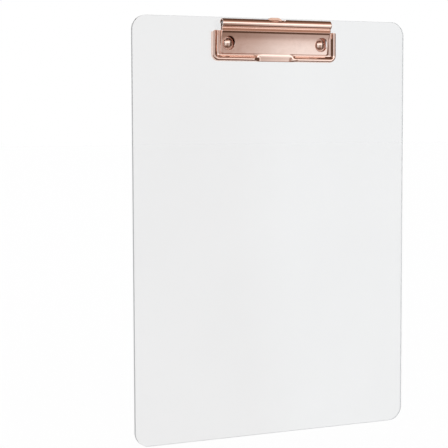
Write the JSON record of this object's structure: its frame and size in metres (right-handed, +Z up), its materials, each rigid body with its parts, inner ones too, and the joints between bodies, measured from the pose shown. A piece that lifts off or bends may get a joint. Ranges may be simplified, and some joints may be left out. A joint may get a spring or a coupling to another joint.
{
  "type": "clipboard",
  "caption": "Clear plastic letter-size clipboard with a rose-gold sprung low-profile clip and a pull-up hanging loop.",
  "frame": {"origin": "middle of the board's bottom edge face, halfway through its thickness", "axes": "+X to the right seen from the front, +Y to the back, +Z up the board; the clip is on the front, at -Y"},
  "size_m": [0.2286, 0.0109, 0.318],
  "materials": {
    "clear_plastic": "clear polished",
    "rose_gold": "polished rose-gold plate",
    "plated_steel": "rose-gold plate, less polished",
    "rivet_steel": "satin rose-gold plate",
    "plain_steel": "drawn wire",
    "spring_steel": "oiled spring wire"
  },
  "bodies": {
    "root": {"board": "clear_plastic", "base_plate": "plated_steel", "hinge_pin": "plain_steel", "torsion_spring_left": "spring_steel", "torsion_spring_right": "spring_steel", "rivet_left": "rivet_steel", "rivet_right": "rivet_steel"},
    "lever": {"clamp_lever": "rose_gold"},
    "hanger": {"hanger_loop": "plated_steel"}
  },
  "joints": [
    {"name": "lever_hinge", "type": "hinge", "parent": "root", "child": "lever", "pos_m": [0, -0.00565, 0.3131], "axis": [-1, 0, 0], "range_deg": [0, 40], "stiffness_Nm_per_rad": 0.35, "springref_deg": -40.11, "deforming": ["torsion_spring_left", "torsion_spring_right"]},
    {"name": "hanger_slide", "type": "slide", "parent": "root", "child": "hanger", "axis": [0, 0, 1], "range_m": [0, 0.0099]}
  ]
}
